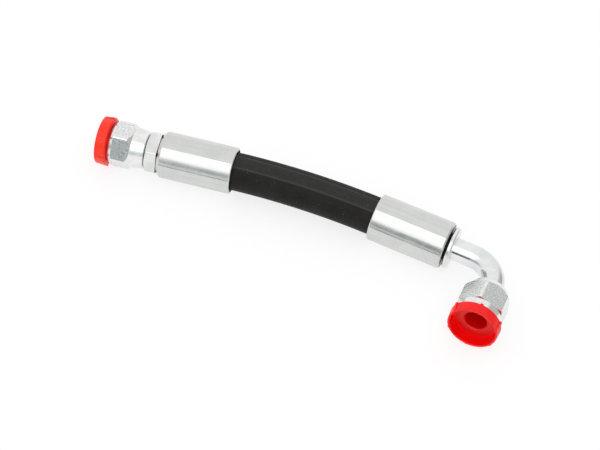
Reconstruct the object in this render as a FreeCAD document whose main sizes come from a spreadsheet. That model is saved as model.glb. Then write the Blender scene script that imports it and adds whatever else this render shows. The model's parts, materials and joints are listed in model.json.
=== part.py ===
import FreeCAD, Part
import math
import os
import Sketcher

# Hydraulic hose assembly: a short two-wire hose with a straight swivel fitting crimped on one
# end and a bent-tube 90 degree swivel fitting on the other, each nut closed by a plastic plug.
# Millimetres. The origin is on the straight nut's axis, at its front face. X runs along the
# straight fitting into the hose. The hose bends and the elbow turns in the XY plane, towards -Y.

doc = FreeCAD.newDocument("HoseAssembly")
sheet = doc.addObject("Spreadsheet::Sheet", "Sizes")


class Size:
    """A number that remembers the sheet formula it comes from."""

    def __init__(self, value, text):
        self.value = value
        self.text = text

    def __add__(self, other):
        other = as_size(other)
        return Size(self.value + other.value, f"({self.text} + {other.text})")

    def __sub__(self, other):
        other = as_size(other)
        return Size(self.value - other.value, f"({self.text} - {other.text})")

    def __mul__(self, other):
        other = as_size(other)
        return Size(self.value * other.value, f"({self.text} * {other.text})")

    def __truediv__(self, other):
        other = as_size(other)
        return Size(self.value / other.value, f"({self.text} / {other.text})")

    def __neg__(self):
        return Size(-self.value, f"(-{self.text})")


def as_size(thing):
    return thing if isinstance(thing, Size) else Size(float(thing), str(thing))


def sine(angle):
    return Size(math.sin(math.radians(angle.value)), f"sin({angle.text} * 1 deg)")


def cosine(angle):
    return Size(math.cos(math.radians(angle.value)), f"cos({angle.text} * 1 deg)")


def tangent(angle):
    return Size(math.tan(math.radians(angle.value)), f"tan({angle.text} * 1 deg)")


rows = []


def size(name, value, meaning):
    """Puts one driving dimension in the sheet and returns it."""
    rows.append(name)
    row = len(rows)
    sheet.set(f"A{row}", meaning)
    sheet.set(f"B{row}", str(value))
    sheet.setAlias(f"B{row}", name)
    return Size(float(value), f"Sizes.{name}")


# Hose: lining, two wire braids with a thin rubber layer between them, and a cover
hose_bore = size("hose_bore", 12.7, "bore of the hose")
lining_wall = size("lining_wall", 1.75, "rubber lining")
braid_wall = size("braid_wall", 0.8, "one wire braid")
separator_wall = size("separator_wall", 0.3, "rubber between the braids")
cover_wall = size("cover_wall", 1.0, "rubber cover")
layer_gap = size("layer_gap", 0.03, "clearance between two hose layers")
hose_shown = size("hose_shown", 84.4, "hose between the two ferrules, along its centre line")
hose_bend = size("hose_bend", 12.2, "angle between the two ends of the hose")
hose_end_gap = size("hose_end_gap", 0.35, "gap between the hose's ends and the stems' shoulders")

# Crimped ferrules, alike but for the bevel at the closed end
ferrule_length = size("ferrule_length", 42.9, "ferrule end to end")
ferrule_wall = size("ferrule_wall", 1.85, "wall of the ferrule outside its valleys")
straight_bevel = size("straight_bevel", 1.9, "length of the straight ferrule's bevel")
straight_bevel_depth = size("straight_bevel_depth", 1.5, "depth of the straight ferrule's bevel")
elbow_bevel = size("elbow_bevel", 0.8, "length of the elbow ferrule's bevel")
elbow_bevel_depth = size("elbow_bevel_depth", 0.8, "depth of the elbow ferrule's bevel")
ferrule_end_wall = size("ferrule_end_wall", 3.2, "closed end that locks on the stem")
mouth_gap = size("mouth_gap", 1.2, "gap between the cover and the ferrule's mouth")
mouth_depth = size("mouth_depth", 4.0, "depth of the ferrule's mouth")
mouth_round = size("mouth_round", 0.8, "rounding of the mouth's outer edge")
grip_gap = size("grip_gap", 0.05, "clearance between the ferrule's ridges and the cover")
grip_height = size("grip_height", 0.5, "height of the ridges that grip the cover")
GRIP_RIDGES = 6
RIDGE_SLOPE = 0.3  # each slope of a ridge, as a share of the step between a ridge and a valley
CRIMP_SEAMS = 8
seam_height = size("seam_height", 0.16, "height of the seams that the crimping dies leave")
seam_width = size("seam_width", 1.3, "width of a seam where it leaves the shell")
straight_seam_turn = size("straight_seam_turn", 29.4, "turn of the straight ferrule's seams")
elbow_seam_turn = size("elbow_seam_turn", 17.1, "turn of the elbow ferrule's seams")
mouth_slope = size("mouth_slope", 0.8, "length of the slope behind the mouth")

# Stems that carry the oil through each fitting
stem_wall = size("stem_wall", 1.15, "wall of the stem under its barbs")
lock_groove_wall = size("lock_groove_wall", 3.25, "wall under the groove that the ferrule's end locks in")
lock_shoulder_rise = size("lock_shoulder_rise", 1.4, "rise of the shoulder behind that groove")
lock_shoulder_length = size("lock_shoulder_length", 1.8, "length of that shoulder")
straight_lock_gap = size("straight_lock_gap", 0.6, "groove left open between the hex and the ferrule")
elbow_lock_gap = size("elbow_lock_gap", 1.0, "groove left open between the collar and the ferrule")
lock_clearance = size("lock_clearance", 0.05, "clearance of the ferrule's end in its groove")
barb_gap = size("barb_gap", 0.05, "clearance of the stem's barbs in the hose bore")
barb_depth = size("barb_depth", 0.4, "depth of the barbs")
BARBS = 6
BARB_SLOPE = 0.6  # length of a barb's slope, as a share of the step from barb to barb
stem_hex_across = size("stem_hex_across", 22.0, "wrench size of the straight stem")
stem_hex_length = size("stem_hex_length", 6.9, "length of the stem's hex")
stem_front_across = size("stem_front_across", 21.6, "flat ring at the front of the stem's hex")
stem_hex_turn = size("stem_hex_turn", 40.0, "angle of one corner of the stem's hex above -Y")
stem_corner_round = size("stem_corner_round", 0.8, "rounding of the corners of the stem's hex")

# Hexes, cut from round stock that is turned first with slightly crowned chamfers
HEX_SIDES = 6
CROWN = "crown"
hex_blank = size("hex_blank", 0.2, "round stock of a hex piece over the hex's corners")
stem_front_angle = size("stem_front_angle", 30, "front chamfer of the stem's hex, from square")
cutter_spare = size("cutter_spare", 4.0, "cutter's outline outside the round stock")

# Swivel nuts with a coned neck: the elbow's is longer
nut_wall = size("nut_wall", 2.275, "wall between the thread's undercut and the wrench flats")
nut_corner_round = size("nut_corner_round", 1.5, "rounding of the corners of the nuts' hexes")
nut_collar_rise = size("nut_collar_rise", 0.45, "round collar at the nut's front, over the flats")
nut_collar_length = size("nut_collar_length", 2.9, "length of the straight nut's collar")
elbow_collar_length = size("elbow_collar_length", 4.4, "length of the elbow nut's collar")
nut_front_step = size("nut_front_step", 1.3, "edge of the nut's flat front ring, inside the collar")
nut_front_angle = size("nut_front_angle", 12, "front chamfer of a nut's hex, from square")
nut_front_rise = size("nut_front_rise", 0.5, "rise and depth of the slope round that ring")
nut_hex_end = size("nut_hex_end", 10.5, "where the straight nut's hex corners end, from its front")
elbow_hex_end = size("elbow_hex_end", 15.4, "where the elbow nut's hex corners end, from its front")
nut_rear_cone = size("nut_rear_cone", 2.9, "length of the hex's rear chamfer")
nut_neck_step = size("nut_neck_step", 0.15, "neck where it leaves the hex, under the flats")
nut_tail_length = size("nut_tail_length", 7.9, "straight nut's neck")
elbow_tail_length = size("elbow_tail_length", 3.8, "elbow nut's neck")
nut_tail_taper = size("nut_tail_taper", 1.15, "taper of the straight nut's neck to its rear end")
elbow_tail_taper = size("elbow_tail_taper", 1.35, "taper of the elbow nut's neck to its rear end")
nut_rear_chamfer = size("nut_rear_chamfer", 0.6, "chamfer of the neck's bore at its rear end")
nut_tail_round = size("nut_tail_round", 0.5, "rounding of the neck's rear edge")
neck_gap = size("neck_gap", 0.6, "end play between the nut and the stem's hex")
straight_nut_turn = size("straight_nut_turn", 59.0, "angle of one corner of the straight nut above -Y")
elbow_nut_turn = size("elbow_nut_turn", 20.8, "angle of one corner of the elbow nut above the hose side")
thread_across = size("thread_across", 19.05, "root diameter of the nut's thread")
thread_depth = size("thread_depth", 0.825, "depth of the nut's thread")
thread_pitch = size("thread_pitch", 1.5875, "pitch of the thread")
thread_start = size("thread_start", 2.0, "centre of the first thread from the nut's front")
thread_mouth = size("thread_mouth", 0.5, "mouth of the thread over its root diameter")
thread_land = size("thread_land", 0.3, "plain land before the first groove and after the last")
thread_relief = size("thread_relief", 0.4, "undercut behind the thread over its root diameter")
GROOVE_MOUTH = 0.38  # half of a groove's width at the thread's crests, in pitches
GROOVE_FLOOR = 0.07  # half of its width at the root
STRAIGHT_THREADS = 5
ELBOW_THREADS = 6
swivel_gap = size("swivel_gap", 0.08, "radial clearance of a nut's neck on what it turns on")

# Flared seat inside each nut
straight_seat_front = size("straight_seat_front", 10.0, "straight seat behind its nut's front")
elbow_seat_front = size("elbow_seat_front", 12.0, "elbow's seat behind its nut's front")
seat_gap = size("seat_gap", 0.4, "clearance of the seat inside the thread's crests")
seat_rim = size("seat_rim", 0.7, "flat ring round the mouth of the seat's cone")
seat_angle = size("seat_angle", 37, "half angle of the seat's cone")
seat_length = size("seat_length", 3.2, "length of the seat's rim")
seat_clearance = size("seat_clearance", 0.45, "axial clearance between the seat and the nut's shoulder")

# Elbow: collar, bent tube and its nut
collar_wall = size("collar_wall", 5.2, "collar behind the elbow's ferrule, outside the tube")
collar_length = size("collar_length", 2.8, "thickness of the collar")
collar_round = size("collar_round", 1.0, "rounding of the collar's outer edges")
tube_wall = size("tube_wall", 1.7, "wall of the bent tube and of the stems' necks")
tube_socket = size("tube_socket", 2.1, "depth of the tube in the collar")
braze_gap = size("braze_gap", 0.03, "brazed gap at the ends of the tube")
bend_radius = size("bend_radius", 16.9, "centre line radius of the tube's bend")
tube_lead = size("tube_lead", 10.55, "straight tube between the collar and the bend")
tube_tail = size("tube_tail", 5.65, "straight tube between the bend and the seat")
elbow_seat_neck = size("elbow_seat_neck", 1.5, "neck of the elbow's seat, up to the tube")

# Plastic plug with a cup-shaped flange, the same in both nuts
plug_overhang = size("plug_overhang", 2.0, "flange's closed edge, outside the nut's flats")
plug_taper = size("plug_taper", 0.45, "taper of the flange's rim to its open edge")
plug_rim = size("plug_rim", 6.4, "length of the flange's rim")
plug_chamfer = size("plug_chamfer", 0.8, "chamfer of the flange's closed edge")
plug_wall = size("plug_wall", 1.1, "wall of the rim at its open edge")
plug_floor = size("plug_floor", 0.9, "thickness of the flange")
plug_shank_wall = size("plug_shank_wall", 2.6, "wall of the plug's hollow shank")
plug_shank = size("plug_shank", 9.0, "length of the shank in the nut")
plug_shank_gap = size("plug_shank_gap", 0.08, "radial clearance of the shank in the thread")
plug_tip_wall = size("plug_tip_wall", 1.2, "closed end of the shank")
plug_tip_taper = size("plug_tip_taper", 0.6, "lead-in at the end of the shank")
plug_edge_round = size("plug_edge_round", 0.35, "rounding of the open edge")
rib_height = size("rib_height", 0.55, "height of the ribs on the rim")
rib_width = size("rib_width", 1.5, "width of a rib at its foot")
straight_rib_turn = size("straight_rib_turn", 3.0, "turn of the straight plug's ribs")
elbow_rib_turn = size("elbow_rib_turn", 32.0, "turn of the elbow plug's ribs")
GRIP_RIBS = 6

doc.recompute()

RADIANS = math.pi / 180

# Diameters that several pieces share
hose_outside = hose_bore + (lining_wall + braid_wall * 2 + separator_wall + cover_wall) * 2
barb_across = hose_bore - barb_gap * 2
stem_bore = barb_across - barb_depth * 2 - stem_wall * 2
lock_groove_across = stem_bore + lock_groove_wall * 2
lock_shoulder_across = lock_groove_across + lock_shoulder_rise * 2
tube_across = stem_bore + tube_wall * 2
neck_bore = tube_across + swivel_gap * 2
thread_minor = thread_across - thread_depth * 2
relief_across = thread_across + thread_relief
nut_across = relief_across + nut_wall * 2
seat_across = thread_minor - seat_gap * 2

# Lengths of the hose in its ferrules, of the nuts and of the elbow
hose_depth = ferrule_length - ferrule_end_wall - lock_clearance - lock_shoulder_length - hose_end_gap
nut_length = nut_hex_end + nut_rear_cone + nut_tail_length
elbow_nut_length = elbow_hex_end + nut_rear_cone + elbow_tail_length
elbow_seat_end = elbow_seat_front + seat_length + (seat_across - tube_across) / 2 + elbow_seat_neck
elbow_reach = elbow_lock_gap + collar_length + tube_lead + bend_radius
elbow_drop = bend_radius + tube_tail + elbow_seat_end

# Places along the straight fitting, from the front of its nut
hex_start = nut_length + neck_gap
hex_end = hex_start + stem_hex_length
ferrule_start = hex_end + straight_lock_gap
mouth_place = ferrule_start + ferrule_length

# Places of the elbow end: mouth2 and closed2 are the ends of the elbow's ferrule, corner is where
# its centre line and the elbow nut's cross
hose_radius = hose_shown / (hose_bend * RADIANS)
mouth2_x = mouth_place + hose_radius * sine(hose_bend)
mouth2_y = -(hose_radius * (as_size(1) - cosine(hose_bend)))
along_x = cosine(hose_bend)
along_y = -sine(hose_bend)
closed2_x = mouth2_x + ferrule_length * along_x
closed2_y = mouth2_y + ferrule_length * along_y
corner_x = closed2_x + elbow_reach * along_x
corner_y = closed2_y + elbow_reach * along_y
elbow_front_x = corner_x - elbow_drop * sine(hose_bend)
elbow_front_y = corner_y - elbow_drop * cosine(hose_bend)


def plane(body, role):
    return [f for f in body.Origin.OriginFeatures if f.Role == role][0]


def new_body(label, x=0, y=0, yaw=0, roll=0):
    """A body whose own X axis is turned by yaw in the XY plane and that is rolled about that axis."""
    body = doc.addObject("PartDesign::Body", label)
    body.Label = label
    body.setExpression("Placement.Base.x", as_size(x).text)
    body.setExpression("Placement.Base.y", as_size(y).text)
    body.setExpression("Placement.Rotation.Yaw", f"{as_size(yaw).text} * 1 deg")
    body.setExpression("Placement.Rotation.Roll", f"{as_size(roll).text} * 1 deg")
    return body


def new_sketch(body, name, role):
    sketch = body.newObject("Sketcher::SketchObject", name)
    sketch.AttachmentSupport = (plane(body, role), [""])
    sketch.MapMode = "FlatFace"
    return sketch


def fix(sketch, kind, *where):
    """Adds one dimension, bound to the sheet: the last argument is its Size."""
    *refs, value = where
    index = sketch.addConstraint(Sketcher.Constraint(kind, *refs, value.value))
    sketch.setExpression(f"Constraints[{index}]", value.text)


def crown(sketch, start, end):
    """An arc from start to end whose centre lies on the sketch's X axis.

    Returns its number and the numbers of its start and end points.
    """
    reach = (end.x ** 2 + end.y ** 2 - start.x ** 2 - start.y ** 2) / (end.x - start.x) / 2
    centre = FreeCAD.Vector(reach, 0, 0)
    rim = Part.Circle(centre, FreeCAD.Vector(0, 0, 1), start.distanceToPoint(centre))
    turns = sorted((math.atan2(p.y, p.x - reach), side) for p, side in ((start, 0), (end, 1)))
    arc = sketch.addGeometry(Part.ArcOfCircle(rim, turns[0][0], turns[1][0]))
    sketch.addConstraint(Sketcher.Constraint("PointOnObject", arc, 3, -1))
    return (arc, 2, 1) if turns[0][1] else (arc, 1, 2)


def rounding(sketch, start, end, radius):
    """An arc of a given radius from start to end, counterclockwise. Returns what crown returns."""
    half = (end - start) / 2
    height = math.sqrt(radius.value ** 2 - half.Length ** 2)
    centre = start + half + FreeCAD.Vector(-half.y, half.x, 0) * (height / half.Length)
    rim = Part.Circle(centre, FreeCAD.Vector(0, 0, 1), radius.value)
    first, last = (math.atan2(p.y - centre.y, p.x - centre.x) for p in (start, end))
    if last < first:
        last += math.tau
    arc = sketch.addGeometry(Part.ArcOfCircle(rim, first, last))
    fix(sketch, "Radius", arc, radius)
    return arc, 1, 2


def outline(sketch, points):
    """A closed outline through points, each placed by its own two sizes.

    Straight lines join them, but an arc leaves a point that has CROWN or a radius as its third
    value.
    """
    corners = [FreeCAD.Vector(as_size(x).value, as_size(y).value, 0) for x, y, *_ in points]
    sides = []
    for point, start, end in zip(points, corners, corners[1:] + corners[:1]):
        if len(point) == 2:
            sides.append((sketch.addGeometry(Part.LineSegment(start, end)), 1, 2))
        elif point[2] is CROWN:
            sides.append(crown(sketch, start, end))
        else:
            sides.append(rounding(sketch, start, end, point[2]))
    for (side, _, end), (following, start, _) in zip(sides, sides[1:] + sides[:1]):
        sketch.addConstraint(Sketcher.Constraint("Coincident", side, end, following, start))
    for (side, start, _), (x, y, *_) in zip(sides, points):
        fix(sketch, "DistanceX", -1, 1, side, start, as_size(x))
        fix(sketch, "DistanceY", -1, 1, side, start, as_size(y))


def circle(sketch, across, x=None, y=None):
    centre = FreeCAD.Vector(x.value if x else 0, y.value if y else 0, 0)
    ring = sketch.addGeometry(Part.Circle(centre, FreeCAD.Vector(0, 0, 1), across.value / 2))
    if x is None:
        sketch.addConstraint(Sketcher.Constraint("Coincident", ring, 3, -1, 1))
    else:
        fix(sketch, "DistanceX", -1, 1, ring, 3, x)
        fix(sketch, "DistanceY", -1, 1, ring, 3, y)
    fix(sketch, "Diameter", ring, across)


def turned(body, name, points):
    """A piece turned about the body's X axis from an outline of (place, diameter) points."""
    sketch = new_sketch(body, f"{name}Outline", "XY_Plane")
    outline(sketch, [(x, as_size(across) / 2, *rest) for x, across, *rest in points])
    turn = body.newObject("PartDesign::Revolution", name)
    turn.Profile = sketch
    turn.ReferenceAxis = (sketch, ["H_Axis"])
    turn.Angle = 360
    doc.recompute()
    return turn


def hex_cut(body, across, stock, start, first, corner_round):
    """Cuts a hex out of round stock, from a place on the body's X axis to its end.

    across is its size over two opposite flats, stock the round stock's diameter and first the
    angle of the hex's first corner. The six corners are rounded.
    """
    sketch = new_sketch(body, "HexOutline", "YZ_Plane")
    sketch.setExpression("AttachmentOffset.Base.z", start.text)
    half = as_size(180) / HEX_SIDES
    reach = (across / 2 - corner_round) / cosine(half)
    corners = []
    for k in range(HEX_SIDES):
        angle = first + half * 2 * k
        for side, bend in ((angle - half, [corner_round]), (angle + half, [])):
            corners.append((reach * cosine(angle) + corner_round * cosine(side),
                            reach * sine(angle) + corner_round * sine(side), *bend))
    outline(sketch, corners)
    circle(sketch, stock + cutter_spare)
    cut = body.newObject("PartDesign::Pocket", "Hex")
    cut.Profile = sketch
    cut.Type = "ThroughAll"
    cut.Reversed = True
    doc.recompute()


def round_edges(body, name, base, radius, places):
    """Rounds the circular edges that lie at the given (place, diameter) pairs."""
    names = []
    for number, edge in enumerate(base.Shape.Edges, start=1):
        if not isinstance(edge.Curve, Part.Circle):
            continue
        for x, across in places:
            near_x = abs(edge.Curve.Center.x - as_size(x).value) < 0.01
            near_r = abs(edge.Curve.Radius - as_size(across).value / 2) < 0.01
            if near_x and near_r:
                names.append(f"Edge{number}")
    fillet = body.newObject("PartDesign::Fillet", name)
    fillet.Base = (base, names)
    fillet.setExpression("Radius", radius.text)
    doc.recompute()


def ring_of(body, name, feature, count):
    """Repeats a feature evenly round the body's X axis."""
    ring = body.newObject("PartDesign::PolarPattern", name)
    ring.Originals = [feature]
    ring.Axis = (plane(body, "X_Axis"), [""])
    ring.Angle = 360
    ring.Occurrences = count
    body.Tip = ring
    doc.recompute()


def dust_plug(label, x, y, yaw, roll):
    """Plug with its open edge at its own origin and its shank along its own X axis."""
    body = new_body(label, x, y, yaw, roll)
    floor = plug_rim - plug_floor
    tip = plug_rim + plug_shank
    shank = thread_minor - plug_shank_gap * 2
    bore = shank - plug_shank_wall * 2
    base = nut_across + plug_overhang * 2
    lip = base - plug_taper * 2
    slope = plug_taper * 2 / plug_rim
    turned(body, "Plug", [
        (plug_edge_round, lip - plug_wall * 2),
        (0, lip - plug_wall * 2 + plug_edge_round * 2),
        (0, lip - plug_edge_round * 2),
        (plug_edge_round, lip),
        (plug_rim - plug_chamfer, base - slope * plug_chamfer),
        (plug_rim, base - plug_chamfer * 2),
        (plug_rim, shank),
        (tip - plug_tip_taper, shank),
        (tip, shank - plug_tip_taper * 2),
        (tip, 0),
        (tip - plug_tip_wall, 0),
        (tip - plug_tip_wall, bore - plug_tip_taper * 2),
        (floor + plug_tip_taper, bore),
        (floor, bore + plug_tip_taper * 2),
        (floor, lip - plug_wall * 2),
    ])
    # The rib is a triangle across the rim that fades out towards the open edge
    sketch = new_sketch(body, "RibOutline", "XY_Plane")
    foot = lip / 2 - plug_wall / 2
    outline(sketch, [
        (plug_edge_round, foot),
        (plug_edge_round, lip / 2 + rib_height / 2),
        (plug_rim - plug_chamfer / 2, base / 2 + rib_height),
        (plug_rim - plug_chamfer / 2, foot),
    ])
    rib = body.newObject("PartDesign::Pad", "Rib")
    rib.Profile = sketch
    rib.Midplane = True
    rib.setExpression("Length", rib_width.text)
    doc.recompute()
    ring_of(body, "Ribs", rib, GRIP_RIBS)


def swivel_nut(label, x, y, yaw, roll, length, collar, hex_stop, taper, seat_front, threads):
    """Nut with its front face at its own origin and its neck along its own X axis."""
    body = new_body(label, x, y, yaw, roll)
    corner_across = nut_across / cosine(as_size(180) / HEX_SIDES) + hex_blank
    collar_across = nut_across + nut_collar_rise * 2
    front_across = collar_across - nut_front_step * 2
    neck_across = nut_across - nut_neck_step * 2
    tail_across = neck_across - taper * 2
    front_cone = (corner_across - collar_across) / 2 * tangent(nut_front_angle)
    shoulder = seat_front + seat_length + seat_clearance
    mouth_half = thread_pitch * GROOVE_MOUTH
    floor_half = thread_pitch * GROOVE_FLOOR
    bore = [
        (0, thread_across + thread_mouth),
        (thread_start - mouth_half - thread_land, thread_minor),
    ]
    for k in range(threads):
        centre = thread_start + thread_pitch * k
        bore.append((centre - mouth_half, thread_minor))
        bore.append((centre - floor_half, thread_across))
        bore.append((centre + floor_half, thread_across))
        bore.append((centre + mouth_half, thread_minor))
    thread_end = thread_start + thread_pitch * (threads - 1) + mouth_half + thread_land
    turned(body, "Nut", bore + [
        (thread_end, thread_minor),
        (thread_end, relief_across),
        (shoulder - (relief_across - seat_across) / 2, relief_across),
        (shoulder + (seat_across - neck_bore) / 2, neck_bore),
        (length - nut_rear_chamfer, neck_bore),
        (length, neck_bore + nut_rear_chamfer * 2),
        (length, tail_across - nut_tail_round * 2),
        (length - nut_tail_round, tail_across),
        (hex_stop + nut_rear_cone, neck_across, CROWN),
        (hex_stop, corner_across),
        (collar + front_cone, corner_across, CROWN),
        (collar, collar_across),
        (nut_front_rise, front_across + nut_front_rise * 2),
        (0, front_across),
    ])
    hex_cut(body, nut_across, corner_across, collar, as_size(0), nut_corner_round)


def crimped_ferrule(label, x, y, yaw, roll, bevel, bevel_depth):
    """Ferrule with its closed end at its own origin and its mouth along its own X axis."""
    body = new_body(label, x, y, yaw, roll)
    grip = hose_outside + grip_gap * 2
    valley = grip + grip_height * 2
    shell = valley + ferrule_wall * 2
    mouth = hose_outside + mouth_gap * 2
    lock_bore = lock_groove_across + lock_clearance * 2
    mouth_floor = ferrule_length - mouth_depth
    step = (mouth_floor - ferrule_end_wall) / (GRIP_RIDGES * 2 + 1)
    bore = [(0, lock_bore), (ferrule_end_wall, lock_bore), (ferrule_end_wall, valley)]
    for k in range(GRIP_RIDGES):
        start = ferrule_end_wall + step * (2 * k + 1)
        bore.append((start, valley))
        bore.append((start + step * RIDGE_SLOPE, grip))
        bore.append((start + step * (1 - RIDGE_SLOPE), grip))
        bore.append((start + step, valley))
    turn = turned(body, "Ferrule", bore + [
        (mouth_floor, valley),
        (mouth_floor + mouth_slope, mouth),
        (ferrule_length, mouth),
        (ferrule_length, shell),
        (bevel, shell),
        (0, shell - bevel_depth * 2),
    ])
    round_edges(body, "MouthRound", turn, mouth_round, [(ferrule_length, shell)])
    # The seams run from the bevel to the rounded mouth. Each is a low triangle that reaches as
    # deep into the shell as it stands out of it, so seam_width is its width at the surface.
    sketch = new_sketch(body, "SeamOutline", "YZ_Plane")
    sketch.setExpression("AttachmentOffset.Base.z", bevel.text)
    foot = shell / 2 - seam_height
    outline(sketch, [(foot, -seam_width), (shell / 2 + seam_height, 0), (foot, seam_width)])
    seam = body.newObject("PartDesign::Pad", "Seam")
    seam.Profile = sketch
    seam.setExpression("Length", (ferrule_length - bevel - mouth_round).text)
    doc.recompute()
    ring_of(body, "Seams", seam, CRIMP_SEAMS)


def barbed_tail(start, end):
    """Outline of the barbed tail from start to end, as (place, diameter) pairs."""
    root = barb_across - barb_depth * 2
    step = (end - start) / (BARBS + 1)
    points = [(start, root)]
    for k in range(BARBS):
        place = start + step * (k + 1)
        points.append((place, root))
        points.append((place, barb_across))
        points.append((place + step * BARB_SLOPE, root))
    return points + [(end, root)]


def seat_cone(seat_front):
    """Outline of the flared seat from its bore round its rim to its neck."""
    opening = seat_across - seat_rim * 2
    cone = (opening - stem_bore) / 2 / tangent(seat_angle)
    return [(seat_front + cone, stem_bore), (seat_front, opening), (seat_front, seat_across),
            (seat_front + seat_length, seat_across),
            (seat_front + seat_length + (seat_across - tube_across) / 2, tube_across)]


def straight_stem():
    """Flared seat, neck, hex, lock groove and barbed tail in one turned piece."""
    body = new_body("straight_stem")
    corner_across = stem_hex_across / cosine(as_size(180) / HEX_SIDES) + hex_blank
    chamfer = (corner_across - stem_front_across) / 2 * tangent(stem_front_angle)
    lock_end = ferrule_start + ferrule_end_wall + lock_clearance
    tail_start = lock_end + lock_shoulder_length
    tail_end = mouth_place - mouth_depth
    turned(body, "Stem", seat_cone(straight_seat_front) + [
        (hex_start, tube_across),
        (hex_start, stem_front_across, CROWN),
        (hex_start + chamfer, corner_across),
        (hex_end, corner_across),
        (hex_end, lock_groove_across),
        (lock_end, lock_groove_across),
        (lock_end, lock_shoulder_across),
        (tail_start, lock_shoulder_across),
    ] + barbed_tail(tail_start, tail_end) + [(tail_end, stem_bore)])
    hex_cut(body, stem_hex_across, corner_across, hex_start, as_size(180) - stem_hex_turn,
            stem_corner_round)


def elbow_nipple():
    """Barbed tail and collar at the elbow's end of the hose, with a socket for the tube."""
    body = new_body("elbow_nipple", closed2_x, closed2_y, hose_bend * -1)
    lock_end = -(ferrule_end_wall + lock_clearance)
    tail_start = lock_end - lock_shoulder_length
    tail_end = mouth_depth - ferrule_length
    collar_end = elbow_lock_gap + collar_length
    collar_across = tube_across + collar_wall * 2
    socket = collar_end - tube_socket
    tail = [(-place, across) for place, across in barbed_tail(-tail_start, -tail_end)]
    turn = turned(body, "Nipple", [(tail_end, stem_bore)] + tail[::-1] + [
        (tail_start, lock_shoulder_across),
        (lock_end, lock_shoulder_across),
        (lock_end, lock_groove_across),
        (elbow_lock_gap, lock_groove_across),
        (elbow_lock_gap, collar_across),
        (collar_end, collar_across),
        (collar_end, tube_across + braze_gap * 2),
        (socket, tube_across + braze_gap * 2),
        (socket, stem_bore),
    ])
    round_edges(body, "CollarRound", turn, collar_round,
                [(elbow_lock_gap, collar_across), (collar_end, collar_across)])


def elbow_tube():
    """Bent tube from its socket in the collar to its end inside the seat."""
    body = new_body("elbow_tube", closed2_x, closed2_y, hose_bend * -1)
    start = elbow_lock_gap + collar_length - tube_socket + braze_gap
    end = bend_radius + tube_tail - braze_gap
    route = new_sketch(body, "TubeRoute", "XY_Plane")
    bend_start = elbow_reach - bend_radius
    centre = FreeCAD.Vector(bend_start.value, -bend_radius.value, 0)
    first = route.addGeometry(Part.LineSegment(
        FreeCAD.Vector(start.value, 0, 0), FreeCAD.Vector(bend_start.value, 0, 0)))
    bend = route.addGeometry(Part.ArcOfCircle(
        Part.Circle(centre, FreeCAD.Vector(0, 0, 1), bend_radius.value), 0, math.pi / 2))
    last = route.addGeometry(Part.LineSegment(
        FreeCAD.Vector(elbow_reach.value, -bend_radius.value, 0),
        FreeCAD.Vector(elbow_reach.value, -end.value, 0)))
    fix(route, "DistanceX", -1, 1, first, 1, start)
    route.addConstraint(Sketcher.Constraint("PointOnObject", first, 1, -1))
    route.addConstraint(Sketcher.Constraint("Horizontal", first))
    route.addConstraint(Sketcher.Constraint("Vertical", last))
    route.addConstraint(Sketcher.Constraint("Tangent", first, 2, bend, 2))
    route.addConstraint(Sketcher.Constraint("Tangent", bend, 1, last, 1))
    fix(route, "Radius", bend, bend_radius)
    fix(route, "DistanceX", -1, 1, last, 2, elbow_reach)
    fix(route, "DistanceY", -1, 1, last, 2, -end)
    section = new_sketch(body, "TubeSection", "YZ_Plane")
    section.setExpression("AttachmentOffset.Base.z", start.text)
    circle(section, tube_across)
    circle(section, stem_bore)
    pipe = body.newObject("PartDesign::AdditivePipe", "Tube")
    pipe.Profile = section
    pipe.Spine = route
    doc.recompute()


def elbow_seat():
    """Flared seat with a short sleeve that takes the tube's end."""
    body = new_body("elbow_seat", elbow_front_x, elbow_front_y, as_size(90) - hose_bend)
    turned(body, "Seat", seat_cone(elbow_seat_front) + [
        (elbow_seat_end, tube_across),
        (elbow_seat_end, stem_bore),
    ])


def hose_layer(label, inside, outside):
    """One layer of the hose, from inside the straight ferrule to inside the elbow's."""
    body = new_body(label, mouth_place)
    route = new_sketch(body, "HoseRoute", "XY_Plane")
    end_x = hose_radius * sine(hose_bend)
    end_y = -(hose_radius * (as_size(1) - cosine(hose_bend)))
    far_x = end_x + hose_depth * along_x
    far_y = end_y + hose_depth * along_y
    turn = math.radians(hose_bend.value)
    centre = FreeCAD.Vector(0, -hose_radius.value, 0)
    first = route.addGeometry(Part.LineSegment(
        FreeCAD.Vector(-hose_depth.value, 0, 0), FreeCAD.Vector(0, 0, 0)))
    bend = route.addGeometry(Part.ArcOfCircle(
        Part.Circle(centre, FreeCAD.Vector(0, 0, 1), hose_radius.value),
        math.pi / 2 - turn, math.pi / 2))
    last = route.addGeometry(Part.LineSegment(
        FreeCAD.Vector(end_x.value, end_y.value, 0), FreeCAD.Vector(far_x.value, far_y.value, 0)))
    fix(route, "DistanceX", -1, 1, first, 1, -hose_depth)
    route.addConstraint(Sketcher.Constraint("PointOnObject", first, 1, -1))
    route.addConstraint(Sketcher.Constraint("Coincident", first, 2, -1, 1))
    route.addConstraint(Sketcher.Constraint("Coincident", bend, 2, first, 2))
    route.addConstraint(Sketcher.Constraint("Coincident", bend, 1, last, 1))
    route.addConstraint(Sketcher.Constraint("PointOnObject", bend, 3, -2))
    fix(route, "DistanceX", -1, 1, last, 1, end_x)
    fix(route, "DistanceY", -1, 1, last, 1, end_y)
    fix(route, "DistanceX", -1, 1, last, 2, far_x)
    fix(route, "DistanceY", -1, 1, last, 2, far_y)
    section = new_sketch(body, "HoseSection", "YZ_Plane")
    section.setExpression("AttachmentOffset.Base.z", (-hose_depth).text)
    circle(section, outside)
    circle(section, inside)
    pipe = body.newObject("PartDesign::AdditivePipe", "Layer")
    pipe.Profile = section
    pipe.Spine = route
    doc.recompute()


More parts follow.
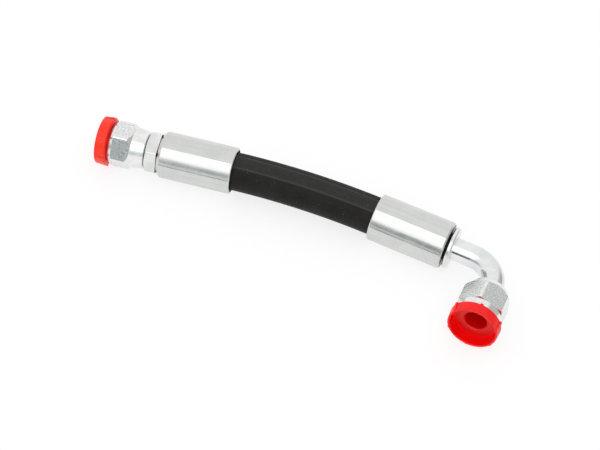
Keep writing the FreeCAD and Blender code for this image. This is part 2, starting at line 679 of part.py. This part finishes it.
dust_plug("straight_dust_plug", -plug_rim, 0, 0, straight_rib_turn)
swivel_nut("straight_swivel_nut", 0, 0, 0, -straight_nut_turn, nut_length, nut_collar_length,
           nut_hex_end, nut_tail_taper, straight_seat_front, STRAIGHT_THREADS)
straight_stem()
crimped_ferrule("straight_ferrule", ferrule_start, 0, 0, straight_seam_turn,
                straight_bevel, straight_bevel_depth)

layer_inside = hose_bore
for layer_name, layer_wall in (
    ("hose_lining", lining_wall),
    ("hose_inner_braid", braid_wall),
    ("hose_separator", separator_wall),
    ("hose_outer_braid", braid_wall),
    ("hose_cover", cover_wall),
):
    layer_outside = layer_inside + layer_wall * 2
    hose_layer(layer_name, layer_inside + layer_gap * 2, layer_outside)
    layer_inside = layer_outside

crimped_ferrule("elbow_ferrule", closed2_x, closed2_y, as_size(180) - hose_bend, elbow_seam_turn,
                elbow_bevel, elbow_bevel_depth)
elbow_nipple()
elbow_tube()
elbow_seat()
swivel_nut("elbow_swivel_nut", elbow_front_x, elbow_front_y, as_size(90) - hose_bend, elbow_nut_turn,
           elbow_nut_length, elbow_collar_length, elbow_hex_end, elbow_tail_taper,
           elbow_seat_front, ELBOW_THREADS)
lip_x = elbow_front_x - plug_rim * sine(hose_bend)
lip_y = elbow_front_y - plug_rim * cosine(hose_bend)
dust_plug("elbow_dust_plug", lip_x, lip_y, as_size(90) - hose_bend, elbow_rib_turn)

doc.recompute()

failed = [o.Name for o in doc.Objects if "Invalid" in o.State or "Error" in o.State]
if failed:
    raise RuntimeError(f"failed objects: {failed}")

os.makedirs("parts", exist_ok=True)
for piece in doc.Objects:
    if piece.TypeId != "PartDesign::Body":
        continue
    shape = piece.Shape
    if shape.isNull() or not shape.isValid() or len(shape.Solids) != 1:
        raise RuntimeError(f"{piece.Label} is not one valid solid")
    shape.exportStep(f"parts/{piece.Label}.step")
    print(piece.Label, round(shape.Volume, 1))

# A pipe that folds over itself has a volume other than its section times its length
hose_length = hose_shown.value + hose_depth.value * 2
tube_length = (tube_lead.value + tube_tail.value + tube_socket.value - braze_gap.value * 2
               + bend_radius.value * math.pi / 2)
cover_inside = hose_outside.value - (cover_wall.value - layer_gap.value) * 2
for label, outside, inside, length in (
    ("hose_cover", hose_outside.value, cover_inside, hose_length),
    ("elbow_tube", tube_across.value, stem_bore.value, tube_length),
):
    volume = doc.getObject(label).Shape.Volume
    expected = math.pi / 4 * (outside ** 2 - inside ** 2) * length
    print(label, "length", round(length, 2), "volume over section times length",
          round(volume / expected, 5))
print("hose bend radius", round(hose_radius.value, 1), "hose radius", round(hose_outside.value / 2, 2))
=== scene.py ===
import json
import math

import bpy
from mathutils import Matrix, Vector


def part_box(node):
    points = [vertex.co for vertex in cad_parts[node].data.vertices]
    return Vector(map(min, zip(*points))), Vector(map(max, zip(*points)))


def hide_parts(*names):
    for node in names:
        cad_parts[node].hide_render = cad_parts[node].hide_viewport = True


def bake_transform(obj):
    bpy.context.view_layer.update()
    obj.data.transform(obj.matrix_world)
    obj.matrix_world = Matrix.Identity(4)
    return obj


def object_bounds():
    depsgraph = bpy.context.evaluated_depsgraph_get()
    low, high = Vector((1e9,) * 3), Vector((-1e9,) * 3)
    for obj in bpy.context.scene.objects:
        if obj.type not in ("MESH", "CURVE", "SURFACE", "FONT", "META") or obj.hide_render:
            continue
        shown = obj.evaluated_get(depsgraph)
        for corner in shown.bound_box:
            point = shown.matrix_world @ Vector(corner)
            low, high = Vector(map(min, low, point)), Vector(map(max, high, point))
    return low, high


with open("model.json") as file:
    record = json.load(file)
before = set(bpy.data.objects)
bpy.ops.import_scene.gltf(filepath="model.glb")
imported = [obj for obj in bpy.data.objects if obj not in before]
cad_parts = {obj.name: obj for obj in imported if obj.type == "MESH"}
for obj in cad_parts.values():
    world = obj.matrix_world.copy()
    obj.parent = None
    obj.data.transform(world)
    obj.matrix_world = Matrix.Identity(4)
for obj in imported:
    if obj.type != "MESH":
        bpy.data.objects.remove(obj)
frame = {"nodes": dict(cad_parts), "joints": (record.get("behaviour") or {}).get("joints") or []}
cad_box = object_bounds()
MM = 0.001
X = Vector((1, 0, 0))
ORIGIN = Vector((0, 0, 0))

# Driving dimensions in millimetres, as in the frame: length of the hose that shows, how deep it sits in
# each ferrule, the inside and outside diameters of its layers, and the radial gap between two layers
HOSE_SHOWN = 84.4
HOSE_DEPTH = 37.5
LAYERS = (
    ("hose_lining", 12.7, 16.2),
    ("hose_inner_braid", 16.2, 17.8),
    ("hose_separator", 17.8, 18.4),
    ("hose_outer_braid", 18.4, 20.0),
    ("hose_cover", 20.0, 22.0),
)
LAYER_GAP = 0.03
# Rounding of a layer's rims in millimetres, and the share of its wall that the rounding may take
RIM_ROUND = 0.15
RIM_SHARE = 1 / 3
# Rows of faces along the hose, inside each ferrule and between them, and faces round it
HIDDEN_ROWS = 12
SHOWN_ROWS = 96
LAYER_SIDES = 96
COVER_SIDES = 288
# Raised strip along the hose cover: where its middle is round the hose, its half width and its edges'
# width in degrees, how far the rest of the cover lies below it in millimetres, and the strip value, 1 on
# the strip and 2 at its edges, from which it has its full height
STRIP_MIDDLE = 103.4
STRIP_HALF = 19.5
STRIP_EDGE = 4.0
STRIP_RISE = 0.12
STRIP_CREST = 1.4

# Where a material changes, in metres: half of the nuts' width over their flats, the radii inside which
# the turned pieces get painted shade and how far along their axes, and the plugs' bore and the floor of
# their cup, which get painted shade, and the outside of their rim
NUT_HALF_ACROSS = 0.012
STEM_GROOVE = 0.0095
NIPPLE_GROOVE = 0.0086
NIPPLE_REACH = 0.0441
SEAT_GROOVE = 0.002
FULL_REACH = 0.1
PLUG_BORE = (0.0062, 0.0066)
PLUG_CUP = (0.0100, 0.0106)
PLUG_RIM = (0.0134, 0.0137)

# Colours. A pair is a material's darker and lighter shade
# Painted shade for the gaps and grooves between the metal parts
GAP_SHADE = (0.022, 0.023, 0.025)
FERRULE_ZINC = ((0.615, 0.63, 0.61), (0.68, 0.685, 0.665))
FERRULE_SPECKS = (0.46, 0.47, 0.46)
TURNED_ZINC = ((0.704, 0.7128, 0.704), (0.80, 0.81, 0.80))
TUBE_ZINC = ((0.72, 0.745, 0.745), (0.81, 0.825, 0.82))
NUT_FLAT_ZINC = ((0.67, 0.68, 0.68), (0.845, 0.855, 0.845))
NUT_TURNED_ZINC = ((0.77, 0.78, 0.77), (0.86, 0.865, 0.85))
COVER_BLACK = ((0.0115, 0.0108, 0.0098), (0.0155, 0.0148, 0.0138))
STRIP_BLACK = ((0.024, 0.024, 0.0228), (0.031, 0.031, 0.0295))
# Painted highlight on the raised edges of the hose's strip
STRIP_EDGE_HIGHLIGHT = (0.052, 0.052, 0.050)
COVER_GRAIN = (0.045, 0.045, 0.044)
COVER_DUST = (0.14, 0.14, 0.14)
LINING_BLACK = ((0.014, 0.014, 0.015), (0.03, 0.03, 0.031))
BRAID_BRASS = ((0.36, 0.29, 0.15), (0.62, 0.54, 0.36))
PLUG_RED = ((0.87, 0.0012, 0.0012), (0.93, 0.0020, 0.0016))
# Painted shade on the plugs' cup floor and in their bore
PLUG_CUP_SHADE_RED = ((0.60, 0.0010, 0.0012), (0.76, 0.0020, 0.0020))
PLUG_BORE_SHADE_RED = (0.66, 0.0008, 0.0010)
# Painted highlight where light shines through the straight plug's rim
PLUG_RIM_HIGHLIGHT_RED = (0.95, 0.031, 0.008)

# Camera, fitted to the photograph: degrees, millimetres, and its focal length in the picture's pixels
CAMERA_YAW = -6.762
CAMERA_PITCH = 47.182
CAMERA_ROLL = 8.556
CAMERA_DISTANCE = 660.65
CAMERA_TARGET = (117.117, -28.486, 0.0)
FOCAL_PIXELS = 1208.22
IMAGE_WIDTH = 600
SENSOR_WIDTH = 36.0

# Floor: its radius and how far it lies below the object in metres, how light it is, and the strength and
# share of its own glow, which keeps it white under a soft shadow
FLOOR_RADIUS = 3.0
FLOOR_SIDES = 64
FLOOR_DROP = 0.0001
FLOOR_WHITE = 0.93
FLOOR_GLOW = 1.03
FLOOR_GLOW_SHARE = 0.75

# Soft box: width and height in metres, distance, degrees above the floor, and watts
BOX_WIDTH = 1.7
BOX_HEIGHT = 1.15
BOX_DISTANCE = 1.3
BOX_LIFT = 52
BOX_POWER = 3.9

# Darker parts of the white world, which only reflections and light see. Each pair is the X, Y or Z of a
# direction where the part begins and where it is full, or where it starts to fade and has faded
CAMERA_SIDE_Y = (0.1, -0.7)
GLOOM_Z = (0.44, 0.2)
GLOOM_TINT = (0.58, 0.66, 0.675)
LEFT_X = (-0.185, -0.225)
LEFT_FADE_X = (-0.30, -0.38)
LEFT_FADED = 0.35
LEFT_Z = (0.38, 0.24)
LEFT_DARKNESS = 0.88
RIGHT_X = (0.42, 0.66)
RIGHT_DARKNESS = 0.46

joints = {joint["name"]: joint for joint in frame["joints"]}
elbow_axis = Vector(joints["elbow_nut_spin"]["axis"])
nut_front = Vector(joints["elbow_nut_spin"]["pos_m"])
# The hose turns by this angle between its ferrules, whose mouths and directions follow from it
BEND = math.atan2(-elbow_axis.x, -elbow_axis.y)
mouth = Vector((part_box("straight_ferrule")[1][0], 0, 0))
hose_radius = HOSE_SHOWN * MM / BEND
along = Vector((math.cos(BEND), -math.sin(BEND), 0))
mouth2 = mouth + Vector((hose_radius * math.sin(BEND), -hose_radius * (1 - math.cos(BEND)), 0))


def make_camera():
    """Camera at the photograph's angle, turned about its own line of sight by the roll."""
    yaw, pitch, roll = (math.radians(a) for a in (CAMERA_YAW, CAMERA_PITCH, CAMERA_ROLL))
    forward = Vector((math.sin(yaw) * math.cos(pitch), math.cos(yaw) * math.cos(pitch), -math.sin(pitch)))
    level = Vector((math.cos(yaw), -math.sin(yaw), 0))
    upright = level.cross(forward)
    right = level * math.cos(roll) + upright * math.sin(roll)
    up = upright * math.cos(roll) - level * math.sin(roll)
    camera = bpy.data.objects.new("camera", bpy.data.cameras.new("camera"))
    bpy.context.scene.collection.objects.link(camera)
    turn = Matrix((right, up, -forward)).transposed()
    camera.matrix_world = turn.to_4x4()
    camera.location = (Vector(CAMERA_TARGET) - forward * CAMERA_DISTANCE) * MM
    camera.data.sensor_fit = "HORIZONTAL"
    camera.data.sensor_width = SENSOR_WIDTH
    camera.data.lens = FOCAL_PIXELS * SENSOR_WIDTH / IMAGE_WIDTH
    camera.data.clip_start = 0.01
    camera.data.clip_end = 20
    bpy.context.scene.camera = camera


class Nodes:
    """A node tree, with short calls for the nodes that this script uses."""

    def __init__(self, tree):
        self.tree = tree

    def node(self, kind, **values):
        made = self.tree.nodes.new(kind)
        for key, value in values.items():
            setattr(made, key, value)
        return made

    def link(self, output, socket):
        self.tree.links.new(output, socket)

    def put(self, socket, value):
        """Sets a socket to a value, or links another socket to it."""
        if isinstance(value, bpy.types.NodeSocket):
            self.link(value, socket)
        else:
            socket.default_value = value

    def math(self, operation, a, b=0.0):
        made = self.node("ShaderNodeMath", operation=operation)
        self.put(made.inputs[0], a)
        self.put(made.inputs[1], b)
        return made.outputs[0]

    def times(self, a, b):
        return self.math("MULTIPLY", a, b)

    def ramp(self, value, low, high, start=0.0, end=1.0):
        """Maps low..high of a value smoothly to start..end."""
        made = self.node("ShaderNodeMapRange", interpolation_type="SMOOTHSTEP")
        self.put(made.inputs["Value"], value)
        made.inputs["From Min"].default_value = low
        made.inputs["From Max"].default_value = high
        made.inputs["To Min"].default_value = start
        made.inputs["To Max"].default_value = end
        return made.outputs[0]

    def mix(self, factor, a, b):
        """A colour between a and b, each a tuple or a socket."""
        made = self.node("ShaderNodeMix", data_type="RGBA")
        self.put(made.inputs["Factor"], factor)
        for socket, value in ((made.inputs[6], a), (made.inputs[7], b)):
            self.put(socket, (*value, 1) if isinstance(value, tuple) else value)
        return made.outputs[2]

    def mix_values(self, factor, a, b):
        made = self.node("ShaderNodeMix", data_type="FLOAT")
        self.put(made.inputs["Factor"], factor)
        self.put(made.inputs[2], a)
        self.put(made.inputs[3], b)
        return made.outputs[0]


class Shader(Nodes):
    """Node tree of one material. Its places and lengths are in metres."""

    INPUTS = {"color": "Base Color", "rough": "Roughness", "normal": "Normal", "metal": "Metallic",
              "specular": "Specular IOR Level", "soft": "Subsurface Weight",
              "soft_scale": "Subsurface Scale"}

    def __init__(self, name):
        self.material = bpy.data.materials.new(name)
        self.material.use_nodes = True
        super().__init__(self.material.node_tree)
        self.body = self.tree.nodes["Principled BSDF"]

    def vector(self, operation, a, b=(0, 0, 0)):
        made = self.node("ShaderNodeVectorMath", operation=operation)
        self.put(made.inputs[0], a)
        self.put(made.inputs[1], b)
        return made.outputs["Value"] if operation in ("DOT_PRODUCT", "LENGTH") else made.outputs[0]

    def place(self):
        return self.node("ShaderNodeTexCoord").outputs["Object"]

    def normal(self):
        return self.node("ShaderNodeTexCoord").outputs["Normal"]

    def facing(self, axis):
        """Cosine of the angle between the surface's normal and an axis."""
        return self.vector("DOT_PRODUCT", self.normal(), tuple(axis))

    def offset(self, origin):
        return self.vector("SUBTRACT", self.place(), tuple(origin))

    def height(self, origin, axis):
        """Distance along an axis from origin."""
        return self.vector("DOT_PRODUCT", self.offset(origin), tuple(axis))

    def radius(self, origin, axis):
        """Distance from a line through origin along axis."""
        foot = self.node("ShaderNodeVectorMath", operation="SCALE")
        foot.inputs[0].default_value = tuple(axis)
        self.link(self.height(origin, axis), foot.inputs["Scale"])
        return self.vector("LENGTH", self.vector("SUBTRACT", self.offset(origin), foot.outputs[0]))

    def stretched(self, axis, along_scale, across_scale):
        """Places scaled differently along an axis in the XY plane and across it."""
        turned = self.node("ShaderNodeVectorRotate", rotation_type="Z_AXIS")
        self.put(turned.inputs["Vector"], self.place())
        turned.inputs["Angle"].default_value = -math.atan2(axis.y, axis.x)
        return self.vector("MULTIPLY", turned.outputs[0], (along_scale, across_scale, across_scale))

    def noise(self, place, scale=1.0, detail=3.0, rough=0.6):
        made = self.node("ShaderNodeTexNoise")
        self.put(made.inputs["Vector"], place)
        made.inputs["Scale"].default_value = scale
        made.inputs["Detail"].default_value = detail
        made.inputs["Roughness"].default_value = rough
        return made.outputs["Fac"]

    def bump(self, height, depth):
        made = self.node("ShaderNodeBump")
        made.inputs["Strength"].default_value = 1.0
        made.inputs["Distance"].default_value = depth
        self.put(made.inputs["Height"], height)
        return made.outputs[0]

    def finish(self, **values):
        for key, value in values.items():
            self.put(self.body.inputs[self.INPUTS[key]], value)
        return self.material


def ferrule_steel(name, axis, closed_end):
    """Bright zinc over drawn steel: faint streaks and drag marks along the ferrule, a few handling marks.

    The flat closed end, which closed_end points out of, is painted dark: painted shade in the gap beside it.
    """
    s = Shader(name)
    streaks = s.noise(s.stretched(axis, 14, 480), detail=4.0)
    grain = s.noise(s.stretched(axis, 90, 2600), detail=2.0, rough=0.5)
    clouds = s.noise(s.place(), 90)
    specks = s.noise(s.place(), 1500, detail=2.0, rough=0.7)
    tone = s.math("ADD", s.times(streaks, 0.55), s.times(clouds, 0.45))
    color = s.mix(s.ramp(tone, 0.38, 0.62), *FERRULE_ZINC)
    color = s.mix(s.ramp(specks, 0.66, 0.74, 0.0, 0.35), color, FERRULE_SPECKS)
    # Painted shade on the ferrule's closed end, in the gap next to it
    color = s.mix(s.ramp(s.facing(closed_end), 0.97, 0.995), color, GAP_SHADE)
    rough = s.math("ADD", s.ramp(grain, 0.3, 0.7, 0.21, 0.30), s.ramp(clouds, 0.35, 0.65, -0.02, 0.04))
    height = s.math("ADD", streaks, s.times(grain, 0.25))
    return s.finish(color=color, metal=1.0, rough=rough, normal=s.bump(height, 0.00006))


def turned_steel(name, origin, axis, groove, reach, hidden_end):
    """Bright zinc over turned steel: fine rings round the axis.

    It has painted shade nearer to the axis than the groove radius, as far as reach along the axis, and on the
    end that hidden_end points out of, where the gaps between parts lie in shade.
    """
    s = Shader(name)
    rings = s.noise(s.stretched(axis, 2600, 40), detail=2.0, rough=0.5)
    clouds = s.noise(s.place(), 120)
    color = s.mix(s.ramp(clouds, 0.35, 0.65), *TURNED_ZINC)
    # Painted shade in the groove near the axis and on the hidden end face
    groove_shade = s.ramp(s.radius(origin, axis), groove - 0.0002, groove, 1.0, 0.0)
    groove_shade = s.times(groove_shade, s.math("LESS_THAN", s.height(origin, axis), reach))
    end_shade = s.ramp(s.facing(hidden_end), 0.93, 0.98)
    color = s.mix(s.math("MAXIMUM", groove_shade, end_shade), color, GAP_SHADE)
    return s.finish(color=color, metal=1.0, rough=s.ramp(clouds, 0.3, 0.7, 0.18, 0.28),
                    normal=s.bump(rings, 0.00003))


def tube_steel(name):
    """Bright zinc over bent tube: very smooth, with a slight ripple from bending."""
    s = Shader(name)
    clouds = s.noise(s.place(), 110, rough=0.55)
    ripple = s.noise(s.place(), 260, detail=2.0, rough=0.5)
    color = s.mix(s.ramp(clouds, 0.35, 0.65), *TUBE_ZINC)
    return s.finish(color=color, metal=1.0, rough=s.ramp(ripple, 0.3, 0.7, 0.11, 0.19),
                    normal=s.bump(ripple, 0.00005))


def nut_steel(name, origin, axis, spread, relief):
    """Zinc-plated nut: coarse-grained flats, and bright turned faces on its corners, collar and cones.

    A wider spread softens the grain's contrast, and relief is how much of it is in the surface.
    """
    s = Shader(name)
    # A flat's points all lie half the nut's width from the axis, measured along the flat's own normal
    distance = s.vector("DOT_PRODUCT", s.offset(origin), s.normal())
    beyond = s.math("ABSOLUTE", s.math("SUBTRACT", distance, NUT_HALF_ACROSS))
    upright = s.math("LESS_THAN", s.math("ABSOLUTE", s.facing(axis)), 0.1)
    flat = s.times(s.ramp(beyond, 0.00003, 0.00012, 1.0, 0.0), upright)
    speckle = s.noise(s.place(), 1000, rough=0.65)
    pits = s.noise(s.place(), 3600, detail=2.0)
    clouds = s.noise(s.place(), 160)
    rings = s.noise(s.stretched(axis, 2400, 40), detail=2.0, rough=0.5)
    matte = s.mix(s.ramp(speckle, 0.5 - spread, 0.5 + spread), *NUT_FLAT_ZINC)
    bright = s.mix(s.ramp(clouds, 0.35, 0.65), *NUT_TURNED_ZINC)
    rough = s.mix_values(flat, s.ramp(clouds, 0.3, 0.7, 0.16, 0.24), s.ramp(pits, 0.3, 0.7, 0.12, 0.2))
    turned = s.times(rings, s.math("SUBTRACT", 1.0, flat))
    cast = s.times(s.math("ADD", s.times(speckle, relief), s.times(pits, 0.1)), flat)
    height = s.math("ADD", s.times(turned, 0.35), cast)
    return s.finish(color=s.mix(flat, bright, matte), metal=1.0, rough=rough, normal=s.bump(height, 0.00008))


def cover_rubber(name):
    """Black oil-resistant rubber: satin, finely grained, with a paler raised strip along the hose.

    The strip's colour follows the mesh's own strip value, which is 1 on the strip and 2 on its two edges,
    whose paler colour is a painted highlight on the raised edges.
    """
    s = Shader(name)
    grain = s.noise(s.place(), 1500, rough=0.65)
    wrap = s.noise(s.place(), 260)
    scuff = s.noise(s.place(), 70, detail=4.0, rough=0.65)
    dust = s.noise(s.place(), 900, detail=1.0, rough=0.5)
    strip = s.node("ShaderNodeAttribute", attribute_name="strip").outputs["Fac"]
    color = s.mix(s.ramp(scuff, 0.3, 0.7), *COVER_BLACK)
    color = s.mix(s.ramp(strip, 0.0, 1.0), color, s.mix(s.ramp(wrap, 0.3, 0.7), *STRIP_BLACK))
    # Painted highlight on the strip's raised edges
    color = s.mix(s.ramp(strip, 1.0, 2.0, 0.0, 0.65), color, STRIP_EDGE_HIGHLIGHT)
    color = s.mix(s.ramp(grain, 0.52, 0.72, 0.0, 0.35), color, COVER_GRAIN)
    color = s.mix(s.ramp(dust, 0.75, 0.79, 0.0, 0.6), color, COVER_DUST)
    height = s.math("ADD", s.times(grain, 0.5), wrap)
    return s.finish(color=color, rough=s.ramp(wrap, 0.3, 0.7, 0.52, 0.64), specular=0.13,
                    normal=s.bump(height, 0.00006))


def inner_rubber(name):
    """Rubber inside the hose: black, with a fine grain."""
    s = Shader(name)
    grain = s.noise(s.place(), 1500, detail=2.0)
    return s.finish(color=s.mix(grain, *LINING_BLACK), rough=0.7, normal=s.bump(grain, 0.00004))


def braid_wire(name):
    """Brass-coated wire braid, as fine grains of wire."""
    s = Shader(name)
    strands = s.noise(s.stretched(X, 900, 900), detail=2.0, rough=0.5)
    return s.finish(color=s.mix(strands, *BRAID_BRASS), metal=1.0, rough=0.38, normal=s.bump(strands, 0.0001))


def plug_plastic(name, origin, axis, rim_highlight=None):
    """Red moulded polyethylene: satin, slightly translucent, with a faint mould texture.

    The cup's floor and the bore are painted darker, as painted shade in the hollow.
    The rim colour, if given, is a painted highlight: the paler and more orange colour that light shining
    through the rim gives it.
    """
    s = Shader(name)
    haze = s.noise(s.place(), 130)
    grain = s.noise(s.place(), 1800, detail=2.0)
    radius = s.radius(origin, axis)
    color = s.mix(s.ramp(haze, 0.35, 0.65), *PLUG_RED)
    # Painted shade on the cup's floor and, below, in the bore
    level = s.ramp(s.math("ABSOLUTE", s.facing(axis)), 0.9, 0.97)
    floor = s.times(level, s.ramp(radius, *PLUG_CUP, 1.0, 0.0))
    color = s.mix(floor, color, s.mix(s.ramp(grain, 0.4, 0.6), *PLUG_CUP_SHADE_RED))
    color = s.mix(s.ramp(radius, *PLUG_BORE, 1.0, 0.0), color, PLUG_BORE_SHADE_RED)
    # Painted highlight on the outside of the rim
    if rim_highlight:
        color = s.mix(s.ramp(radius, *PLUG_RIM), color, rim_highlight)
    return s.finish(color=color, rough=s.ramp(grain, 0.3, 0.7, 0.30, 0.40), soft=0.12, specular=0.36,
                    soft_scale=0.002, normal=s.bump(grain, 0.00002))


def hose_path(station):
    """Point and direction on the hose's centre line, at a distance from the straight ferrule's mouth."""
    shown = HOSE_SHOWN * MM
    if station <= 0:
        return mouth + X * station, X.copy()
    if station >= shown:
        return mouth2 + along * (station - shown), along.copy()
    angle = station / hose_radius
    heading = Vector((math.cos(angle), -math.sin(angle), 0))
    point = mouth + Vector((hose_radius * math.sin(angle), -hose_radius * (1 - math.cos(angle)), 0))
    return point, heading


def hose_stations():
    """Distances along the hose for its rings: close together where it shows."""
    depth = HOSE_DEPTH * MM
    shown = HOSE_SHOWN * MM
    first = [-depth + depth * k / HIDDEN_ROWS for k in range(HIDDEN_ROWS)]
    middle = [shown * k / SHOWN_ROWS for k in range(SHOWN_ROWS + 1)]
    last = [shown + depth * k / HIDDEN_ROWS for k in range(1, HIDDEN_ROWS + 1)]
    return first + middle + last


def strip_value(turn):
    """The strip value of a direction round the hose: 1 on the strip, 2 at its edges, 0 elsewhere."""
    away = abs((math.degrees(turn) - STRIP_MIDDLE + 180) % 360 - 180)
    if away > STRIP_HALF + STRIP_EDGE:
        return 0.0
    if away > STRIP_HALF - STRIP_EDGE:
        return 2.0 - abs(away - STRIP_HALF) / STRIP_EDGE
    return 1.0


def hose_rings(inside, outside):
    """Distance along the hose and radius of each ring round a layer's wall, with rounded rims."""
    inner, outer = inside * MM / 2 + LAYER_GAP * MM, outside * MM / 2
    rim = min(RIM_ROUND * MM, (outer - inner) * RIM_SHARE)
    stations = hose_stations()
    first, last = stations[0], stations[-1]
    rings = [(first + rim, outer)]
    rings += [(station, outer) for station in stations[1:-1]]
    rings += [(last - rim, outer), (last, outer - rim), (last, inner + rim)]
    rings += [(station, inner) for station in reversed(stations)]
    return rings + [(first, inner + rim), (first, outer - rim)]


def hose_tube(name, inside, outside, sides, strip):
    """One hose layer as a closed tube, swept along the hose's centre line."""
    rings = hose_rings(inside, outside)
    turns = [2 * math.pi * k / sides for k in range(sides)]
    values = [strip_value(turn) if strip else 0.0 for turn in turns]
    points = []
    for station, radius in rings:
        point, heading = hose_path(station)
        side = Vector((-heading.y, heading.x, 0))
        for turn, value in zip(turns, values):
            reach = radius
            if strip and radius == outside * MM / 2:
                reach -= STRIP_RISE * MM * (1 - min(value, STRIP_CREST) / STRIP_CREST)
            points.append(point + side * (reach * math.cos(turn)) + Vector((0, 0, reach * math.sin(turn))))
    faces = []
    for ring in range(len(rings)):
        following = (ring + 1) % len(rings)
        for k in range(sides):
            beside = (k + 1) % sides
            faces.append((following * sides + k, following * sides + beside,
                          ring * sides + beside, ring * sides + k))
    mesh = bpy.data.meshes.new(name)
    mesh.from_pydata([tuple(p) for p in points], [], faces)
    mesh.polygons.foreach_set("use_smooth", [True] * len(mesh.polygons))
    if strip:
        mesh.attributes.new("strip", "FLOAT", "POINT").data.foreach_set("value", values * len(rings))
    mesh.update()
    piece = bpy.data.objects.new(name, mesh)
    bpy.context.scene.collection.objects.link(piece)
    return piece


def make_hose():
    """The hose's five layers, each in place of its CAD node and bending between the two ferrules."""
    materials = {"cover_rubber": cover_rubber("cover_rubber_shade"),
                 "inner_rubber": inner_rubber("inner_rubber_shade"),
                 "braid_wire": braid_wire("braid_wire_shade")}
    slots = {"hose_cover": "cover_rubber", "hose_lining": "inner_rubber", "hose_separator": "inner_rubber",
             "hose_inner_braid": "braid_wire", "hose_outer_braid": "braid_wire"}
    for node, inside, outside in LAYERS:
        cover = node == "hose_cover"
        piece = hose_tube(f"{node}_form", inside, outside, COVER_SIDES if cover else LAYER_SIDES, cover)
        piece.data.materials.append(materials[slots[node]])
        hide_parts(node)
        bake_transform(piece)


def assign(node, material):
    """Gives a CAD node a material in place of its plain one."""
    materials = frame["nodes"][node].data.materials
    materials.clear()
    materials.append(material)


def make_metal():
    assign("straight_ferrule", ferrule_steel("straight_ferrule_shade", X, -X))
    assign("elbow_ferrule", ferrule_steel("elbow_ferrule_shade", along, along))
    assign("straight_stem", turned_steel("straight_stem_shade", ORIGIN, X, STEM_GROOVE, FULL_REACH, X))
    assign("elbow_nipple", turned_steel("elbow_nipple_shade", mouth2, along, NIPPLE_GROOVE, NIPPLE_REACH,
                                        -along))
    assign("elbow_seat", turned_steel("elbow_seat_shade", nut_front, elbow_axis, SEAT_GROOVE, FULL_REACH,
                                      elbow_axis))
    assign("elbow_tube", tube_steel("elbow_tube_shade"))
    assign("straight_swivel_nut", nut_steel("straight_nut_shade", ORIGIN, X, spread=0.08, relief=1.6))
    assign("elbow_swivel_nut", nut_steel("elbow_nut_shade", nut_front, elbow_axis, spread=0.16, relief=1.2))


def make_plugs():
    assign("straight_dust_plug", plug_plastic("straight_plug_shade", ORIGIN, X, PLUG_RIM_HIGHLIGHT_RED))
    assign("elbow_dust_plug", plug_plastic("elbow_plug_shade", nut_front, elbow_axis))


def make_floor():
    """Round white floor that keeps a soft shadow of the object."""
    level = cad_box[0][2] - FLOOR_DROP
    turns = [math.tau * k / FLOOR_SIDES for k in range(FLOOR_SIDES)]
    ring = [(FLOOR_RADIUS * math.cos(turn), FLOOR_RADIUS * math.sin(turn), level) for turn in turns]
    mesh = bpy.data.meshes.new("floor")
    mesh.from_pydata(ring, [], [tuple(range(FLOOR_SIDES))])
    floor = bpy.data.objects.new("floor", mesh)
    bpy.context.scene.collection.objects.link(floor)
    shade = Shader("floor_shade")
    diffuse = shade.node("ShaderNodeBsdfDiffuse")
    diffuse.inputs["Color"].default_value = (FLOOR_WHITE, FLOOR_WHITE, FLOOR_WHITE, 1)
    glow = shade.node("ShaderNodeEmission")
    glow.inputs["Color"].default_value = (1, 1, 1, 1)
    glow.inputs["Strength"].default_value = FLOOR_GLOW
    both = shade.node("ShaderNodeMixShader")
    both.inputs[0].default_value = FLOOR_GLOW_SHARE
    shade.link(diffuse.outputs[0], both.inputs[1])
    shade.link(glow.outputs[0], both.inputs[2])
    shade.link(both.outputs[0], shade.tree.nodes["Material Output"].inputs["Surface"])
    shade.tree.nodes.remove(shade.body)
    mesh.materials.append(shade.material)


def make_world():
    """White studio, gloomier low down on the camera's side, with a dark patch on the left and the right."""
    world = bpy.data.worlds.new("studio")
    bpy.context.scene.world = world
    world.use_nodes = True
    sky = Nodes(world.node_tree)
    background = sky.tree.nodes["Background"]
    split = sky.node("ShaderNodeSeparateXYZ")
    sky.link(sky.node("ShaderNodeTexCoord").outputs["Generated"], split.inputs[0])
    x, y, z = split.outputs
    camera_side = sky.ramp(y, *CAMERA_SIDE_Y)
    unseen = sky.math("SUBTRACT", 1.0, sky.node("ShaderNodeLightPath").outputs["Is Camera Ray"])
    gloom = sky.times(camera_side, sky.ramp(z, *GLOOM_Z))
    left = sky.times(sky.ramp(x, *LEFT_X), sky.ramp(x, *LEFT_FADE_X, 1.0, LEFT_FADED))
    left = sky.times(sky.times(sky.ramp(z, *LEFT_Z), left), camera_side)
    right = sky.ramp(x, *RIGHT_X, 0.0, RIGHT_DARKNESS)
    darker = sky.times(sky.math("MAXIMUM", sky.times(left, LEFT_DARKNESS), right), unseen)
    sky.put(background.inputs["Color"], sky.mix(sky.times(gloom, unseen), (1, 1, 1), GLOOM_TINT))
    sky.put(background.inputs["Strength"], sky.math("SUBTRACT", 1.0, darker))


def make_soft_box():
    """Soft box above the camera's side, which reaches from 28 to 76 degrees above the floor."""
    data = bpy.data.lights.new("soft_box", "AREA")
    data.shape = "RECTANGLE"
    data.size = BOX_WIDTH
    data.size_y = BOX_HEIGHT
    data.energy = BOX_POWER
    lamp = bpy.data.objects.new("soft_box", data)
    bpy.context.scene.collection.objects.link(lamp)
    lift = math.radians(BOX_LIFT)
    back = Vector((0, -math.cos(lift), math.sin(lift)))
    lamp.location = Vector(CAMERA_TARGET) * MM + back * BOX_DISTANCE
    lamp.rotation_mode = "QUATERNION"
    lamp.rotation_quaternion = (-back).to_track_quat("-Z", "Y")


make_camera()
make_metal()
make_plugs()
make_hose()
make_floor()
make_world()
make_soft_box()
bpy.context.scene.view_settings.view_transform = "Standard"
